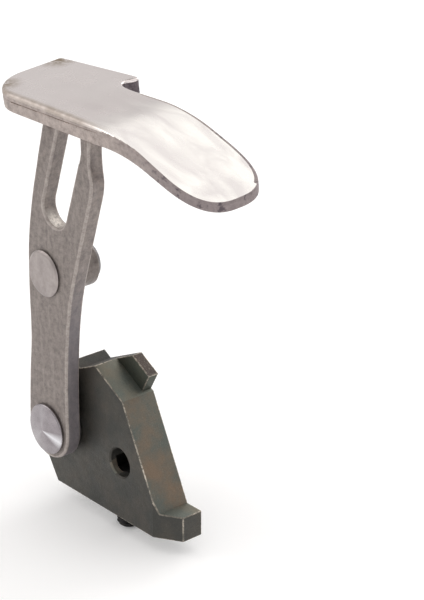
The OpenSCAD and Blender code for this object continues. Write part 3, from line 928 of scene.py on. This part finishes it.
def make_block():
    """The machined block has flat faces, holes and a raised fin that no single grid can
    hold, so its skin is the CAD solid's own, merged and cleaned, with every sharp edge
    rolled over. The rolled edges get the worn finish, and faces get theirs by place; the
    faces that look up get lighter copies of the oxide, which is painted light."""
    shape = bmesh.new()
    shape.from_mesh(frame["nodes"]["pivot_block"].data)
    bmesh.ops.remove_doubles(shape, verts=shape.verts, dist=1e-6)
    bmesh.ops.dissolve_limit(shape, angle_limit=np.radians(0.6), verts=shape.verts,
                             edges=shape.edges)
    holes = ((Vector((0, 0)), 6.2), (Vector(PIVOT), 4.4))

    def off_holes(edge):
        """True for an edge that isn't on the rim of a hole."""
        x, y, z = (edge.verts[0].co + edge.verts[1].co) / 2 / MM
        in_bore = any((Vector((x, z)) - middle).length < reach for middle, reach in holes)
        return not in_bore and not (np.hypot(x - SCREW_X, y) < SCREW_R + 0.3 and z < 0)

    sharp = [edge for edge in shape.edges
             if len(edge.link_faces) == 2 and edge.calc_face_angle(0) > ROLLED_FROM
             and edge.is_convex and off_holes(edge)]
    for face in shape.faces:
        face.material_index = BLOCK_PLAIN
    bmesh.ops.bevel(shape, geom=sharp, offset=EDGE_ROUND * MM, offset_type="OFFSET",
                    segments=2, profile=0.5, affect="EDGES", material=BLOCK_EDGE,
                    clamp_overlap=False)
    bmesh.ops.triangulate(shape, faces=[face for face in shape.faces if len(face.verts) > 4])
    mesh = bpy.data.meshes.new("pivot_block_skin")
    shape.to_mesh(mesh)
    shape.free()
    for finish in (OXIDE, LIT_RAMP, FIN_TOP, FIN_SIDE, LIT_RAMP_TOP, EDGE):
        mesh.materials.append(finish)
    count = len(mesh.polygons)
    centre, normal = np.zeros(count * 3), np.zeros(count * 3)
    mesh.polygons.foreach_get("center", centre)
    mesh.polygons.foreach_get("normal", normal)
    centre, normal = centre.reshape(-1, 3) / MM, normal.reshape(-1, 3)
    index = np.zeros(count, np.int32)
    mesh.polygons.foreach_get("material_index", index)
    up = np.array([np.sin(RAMP1), np.cos(RAMP1)])
    above = (centre[:, [0, 2]] - KNEE) @ up
    flat = index == BLOCK_PLAIN
    # Painted light: faces that slope up to the right get a lighter copy of the oxide.
    sloping = (normal[:, 0] > 0.3) & (normal[:, 2] > 0.2) & (centre[:, 0] > -14)
    index[flat & sloping] = BLOCK_RAMP
    # Painted light: the top of the upper ramp and the up-facing faces low down get the lighter
    # green copy.
    on_top = (np.abs(above) < 0.5) & (centre[:, 0] < KNEE[0])
    index[(index == BLOCK_RAMP) & on_top] = BLOCK_RAMP_TOP
    index[flat & (normal[:, 2] > 0.9) & (centre[:, 2] < -8)] = BLOCK_RAMP_TOP
    on_fin = (above > 0.6) & (centre[:, 1] > BLOCK_HIGH[1] - FIN_T - 0.3) & (centre[:, 0] < 12)
    index[flat & on_fin & (above > 1)] = BLOCK_FIN_SIDE
    index[flat & (above > FIN_H - 0.4) & (normal[:, [0, 2]] @ up > 0.9)] = BLOCK_FIN_TOP
    mesh.polygons.foreach_set("material_index", index)
    mesh.polygons.foreach_set("use_smooth", np.ones(count, bool))
    mesh.set_sharp_from_angle(angle=np.radians(20))
    piece = bpy.data.objects.new("pivot_block_skin", mesh)
    bpy.context.scene.collection.objects.link(piece)
    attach(piece, "block_body")
    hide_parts("pivot_block")
    return piece


make_block()

# ---------------------------------------------------------------- floor and light
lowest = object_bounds()[0][2]
FLOOR_REACH = 4
floor_mesh = bpy.data.meshes.new("floor")
floor_mesh.from_pydata([(x * FLOOR_REACH, y * FLOOR_REACH, lowest)
                        for x, y in ((-1, -1), (1, -1), (1, 1), (-1, 1))],
                       [], [(0, 1, 2, 3)])
floor = bpy.data.objects.new("floor", floor_mesh)
bpy.context.scene.collection.objects.link(floor)
paper = Finish("pale floor")
floor_mesh.materials.append(paper.set(
    paper.mix(paper.noise(60, 2, 0.5), (0.93, 0.93, 0.93, 1), (0.95, 0.95, 0.95, 1)), 0.9,
    metal=0.0))
paper.shader.inputs["Emission Color"].default_value = (1, 1, 1, 1)
paper.shader.inputs["Emission Strength"].default_value = 0.14


def softbox(name, at, toward, size, power, colour=(1, 1, 1)):
    """Rectangular soft light at one place, facing another, in metres and watts."""
    lamp = bpy.data.lights.new(name, "AREA")
    lamp.shape = "RECTANGLE"
    lamp.size, lamp.size_y = size
    lamp.energy = power
    lamp.color = colour
    holder = bpy.data.objects.new(name, lamp)
    bpy.context.scene.collection.objects.link(holder)
    holder.location = at
    holder.rotation_euler = (Vector(at) - Vector(toward)).to_track_quat("Z", "Y").to_euler()


softbox("overhead", (0.0, 0.35, 1.1), (0, 0, 0.05), (2.0, 1.8), 3.6, (1.0, 0.985, 0.97))
softbox("back_wash", (-0.3, 1.6, 0.7), (0, 0, 0.0), (0.8, 0.8), 8, (1.0, 1.0, 1.0))
softbox("left_front", (-0.9, -0.8, 0.7), (0, 0, 0.04), (0.8, 0.8), 3, (1.0, 0.97, 0.95))
softbox("right_fill", (1.1, -0.3, 0.35), (0, 0, 0.04), (0.6, 0.6), 1.0, (0.94, 0.96, 1.0))

world = bpy.data.worlds.new("studio")
bpy.context.scene.world = world
world.use_nodes = True
sky = world.node_tree
background = next(n for n in sky.nodes if n.type == "BACKGROUND")
direction = sky.nodes.new("ShaderNodeTexCoord")
split = sky.nodes.new("ShaderNodeSeparateXYZ")
sky.links.new(direction.outputs["Generated"], split.inputs[0])
height_ramp = sky.nodes.new("ShaderNodeValToRGB")
for element, (position, grey) in zip(
        height_ramp.color_ramp.elements, ((0.0, 0.82), (1.0, 1.0))):
    element.position = position
    element.color = (grey, grey * 0.985, grey * 0.975, 1)
sky.links.new(split.outputs["Z"], height_ramp.inputs[0])
sky.links.new(height_ramp.outputs[0], background.inputs["Color"])
background.inputs["Strength"].default_value = 0.80
bpy.context.scene.view_settings.view_transform = "Standard"
